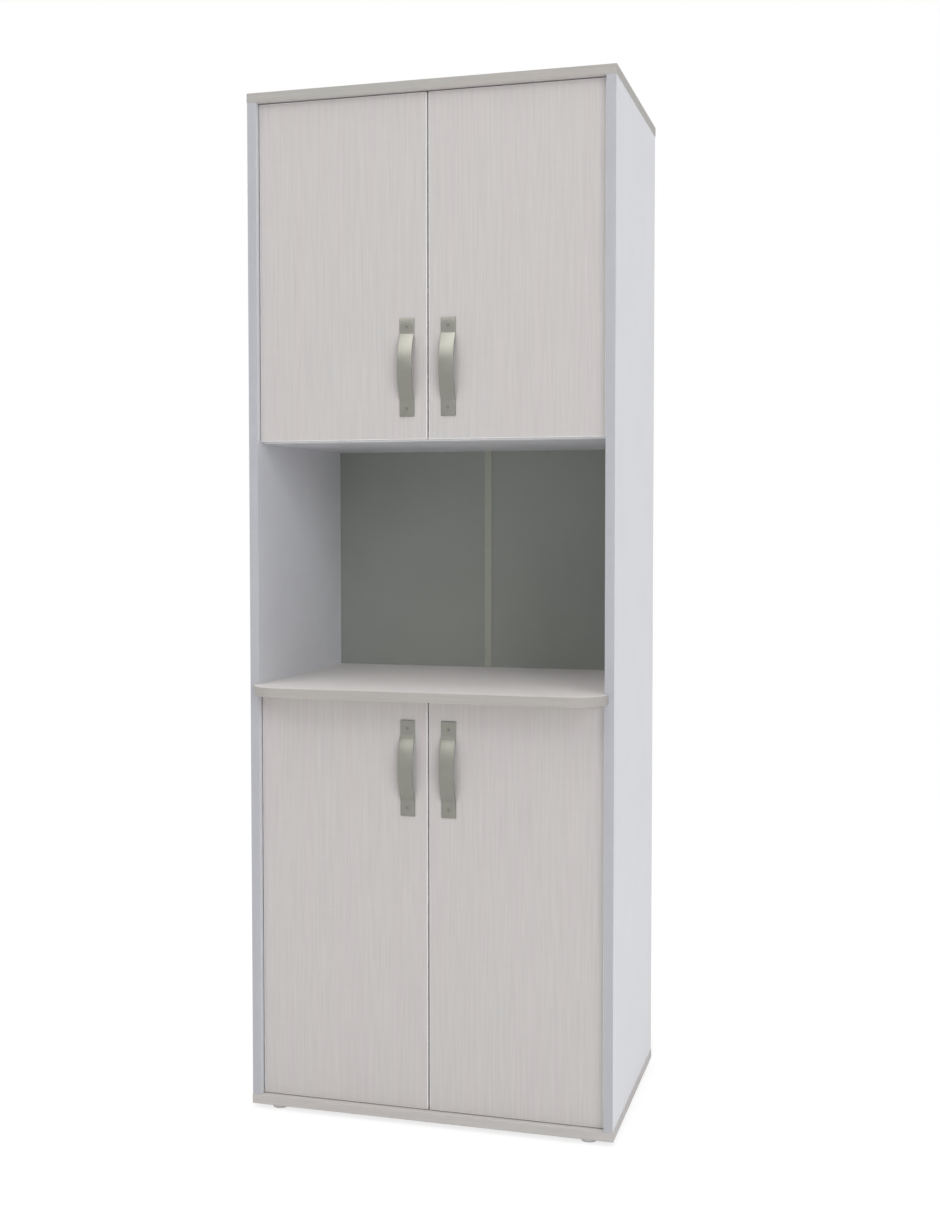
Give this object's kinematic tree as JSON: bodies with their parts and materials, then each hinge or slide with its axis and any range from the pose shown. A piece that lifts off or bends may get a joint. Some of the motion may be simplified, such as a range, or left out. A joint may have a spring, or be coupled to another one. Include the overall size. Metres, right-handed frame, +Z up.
{
  "type": "microwave cabinet",
  "caption": "Tall free-standing kitchen cabinet: hinged doors above and below an open microwave niche, whose shelf juts out with rounded corners.",
  "frame": {"origin": "under the middle of the whole object's box, on the surface it stands on", "axes": "+X to the cabinet's right as seen from the front, +Y to the back, +Z up; the doors face -Y"},
  "size_m": [0.6014, 0.441, 1.654],
  "materials": {
    "white_melamine": "white melamine-faced chipboard with white edge banding, softly satin",
    "taupe_melamine": "warm pale grey melamine-faced chipboard, satin, faint fibre pattern",
    "linen_melamine": "pale warm grey melamine with a fine upright linen-like pattern, satin",
    "white_back_sheet": "white lacquered hardboard",
    "satin_nickel": "satin nickel plate",
    "zinc_steel": "bright nickel or zinc plated steel",
    "white_plastic": "white moulded plastic"
  },
  "bodies": {
    "root": {"top_panel": "taupe_melamine", "bottom_panel": "taupe_melamine", "microwave_shelf": "taupe_melamine", "niche_ceiling_panel": "white_melamine", "upper_shelf": "white_melamine", "lower_shelf": "white_melamine", "side_panel_left": "white_melamine", "side_panel_right": "white_melamine", "back_joint_strip": "white_plastic", "back_panel_left": "white_back_sheet", "back_panel_right": "white_back_sheet", "foot_front_left": "white_plastic", "foot_nail_front_left": "zinc_steel", "foot_front_right": "white_plastic", "foot_nail_front_right": "zinc_steel", "foot_back_left": "white_plastic", "foot_nail_back_left": "zinc_steel", "foot_back_right": "white_plastic", "foot_nail_back_right": "zinc_steel", "shelf_pin_upper_left_front": "zinc_steel", "shelf_pin_upper_left_back": "zinc_steel", "shelf_pin_lower_left_front": "zinc_steel", "shelf_pin_lower_left_back": "zinc_steel", "shelf_pin_upper_right_front": "zinc_steel", "shelf_pin_upper_right_back": "zinc_steel", "shelf_pin_lower_right_front": "zinc_steel", "shelf_pin_lower_right_back": "zinc_steel", "hinge_arm_upper_left_low": "zinc_steel", "hinge_arm_upper_left_high": "zinc_steel", "hinge_arm_upper_right_low": "zinc_steel", "hinge_arm_upper_right_high": "zinc_steel", "hinge_arm_lower_left_low": "zinc_steel", "hinge_arm_lower_left_high": "zinc_steel", "hinge_arm_lower_right_low": "zinc_steel", "hinge_arm_lower_right_high": "zinc_steel"},
    "upper_left_door": {"door_upper_left": "linen_melamine", "handle_upper_left": "satin_nickel", "hinge_cup_upper_left_low": "zinc_steel", "hinge_cup_upper_left_high": "zinc_steel"},
    "upper_left_links": {"hinge_link_upper_left_low": "zinc_steel", "hinge_link_upper_left_high": "zinc_steel"},
    "upper_right_door": {"door_upper_right": "linen_melamine", "handle_upper_right": "satin_nickel", "hinge_cup_upper_right_low": "zinc_steel", "hinge_cup_upper_right_high": "zinc_steel"},
    "upper_right_links": {"hinge_link_upper_right_low": "zinc_steel", "hinge_link_upper_right_high": "zinc_steel"},
    "lower_left_door": {"door_lower_left": "linen_melamine", "handle_lower_left": "satin_nickel", "hinge_cup_lower_left_low": "zinc_steel", "hinge_cup_lower_left_high": "zinc_steel"},
    "lower_left_links": {"hinge_link_lower_left_low": "zinc_steel", "hinge_link_lower_left_high": "zinc_steel"},
    "lower_right_door": {"door_lower_right": "linen_melamine", "handle_lower_right": "satin_nickel", "hinge_cup_lower_right_low": "zinc_steel", "hinge_cup_lower_right_high": "zinc_steel"},
    "lower_right_links": {"hinge_link_lower_right_low": "zinc_steel", "hinge_link_lower_right_high": "zinc_steel"}
  },
  "joints": [
    {"name": "upper_left_door_swing", "type": "hinge", "parent": "root", "child": "upper_left_door", "pos_m": [-0.28, -0.1575, 1.36575], "axis": [0, 0, -1], "range_deg": [0, 100]},
    {"name": "upper_left_link_swing", "type": "hinge", "parent": "root", "child": "upper_left_links", "pos_m": [-0.2628, -0.1521, 1.36575], "axis": [0, 0, -1], "range_deg": [0, 120]},
    {"name": "upper_right_door_swing", "type": "hinge", "parent": "root", "child": "upper_right_door", "pos_m": [0.28, -0.1575, 1.36575], "axis": [0, 0, 1], "range_deg": [0, 100]},
    {"name": "upper_right_link_swing", "type": "hinge", "parent": "root", "child": "upper_right_links", "pos_m": [0.2628, -0.1521, 1.36575], "axis": [0, 0, 1], "range_deg": [0, 120]},
    {"name": "lower_left_door_swing", "type": "hinge", "parent": "root", "child": "lower_left_door", "pos_m": [-0.28, -0.1575, 0.355], "axis": [0, 0, -1], "range_deg": [0, 100]},
    {"name": "lower_left_link_swing", "type": "hinge", "parent": "root", "child": "lower_left_links", "pos_m": [-0.2628, -0.1521, 0.355], "axis": [0, 0, -1], "range_deg": [0, 120]},
    {"name": "lower_right_door_swing", "type": "hinge", "parent": "root", "child": "lower_right_door", "pos_m": [0.28, -0.1575, 0.355], "axis": [0, 0, 1], "range_deg": [0, 100]},
    {"name": "lower_right_link_swing", "type": "hinge", "parent": "root", "child": "lower_right_links", "pos_m": [0.2628, -0.1521, 0.355], "axis": [0, 0, 1], "range_deg": [0, 120]}
  ],
  "couplings": [
    {"joint": "upper_left_link_swing", "follows": "upper_left_door_swing", "ratio": 1.2},
    {"joint": "upper_right_link_swing", "follows": "upper_right_door_swing", "ratio": 1.2},
    {"joint": "lower_left_link_swing", "follows": "lower_left_door_swing", "ratio": 1.2},
    {"joint": "lower_right_link_swing", "follows": "lower_right_door_swing", "ratio": 1.2}
  ]
}
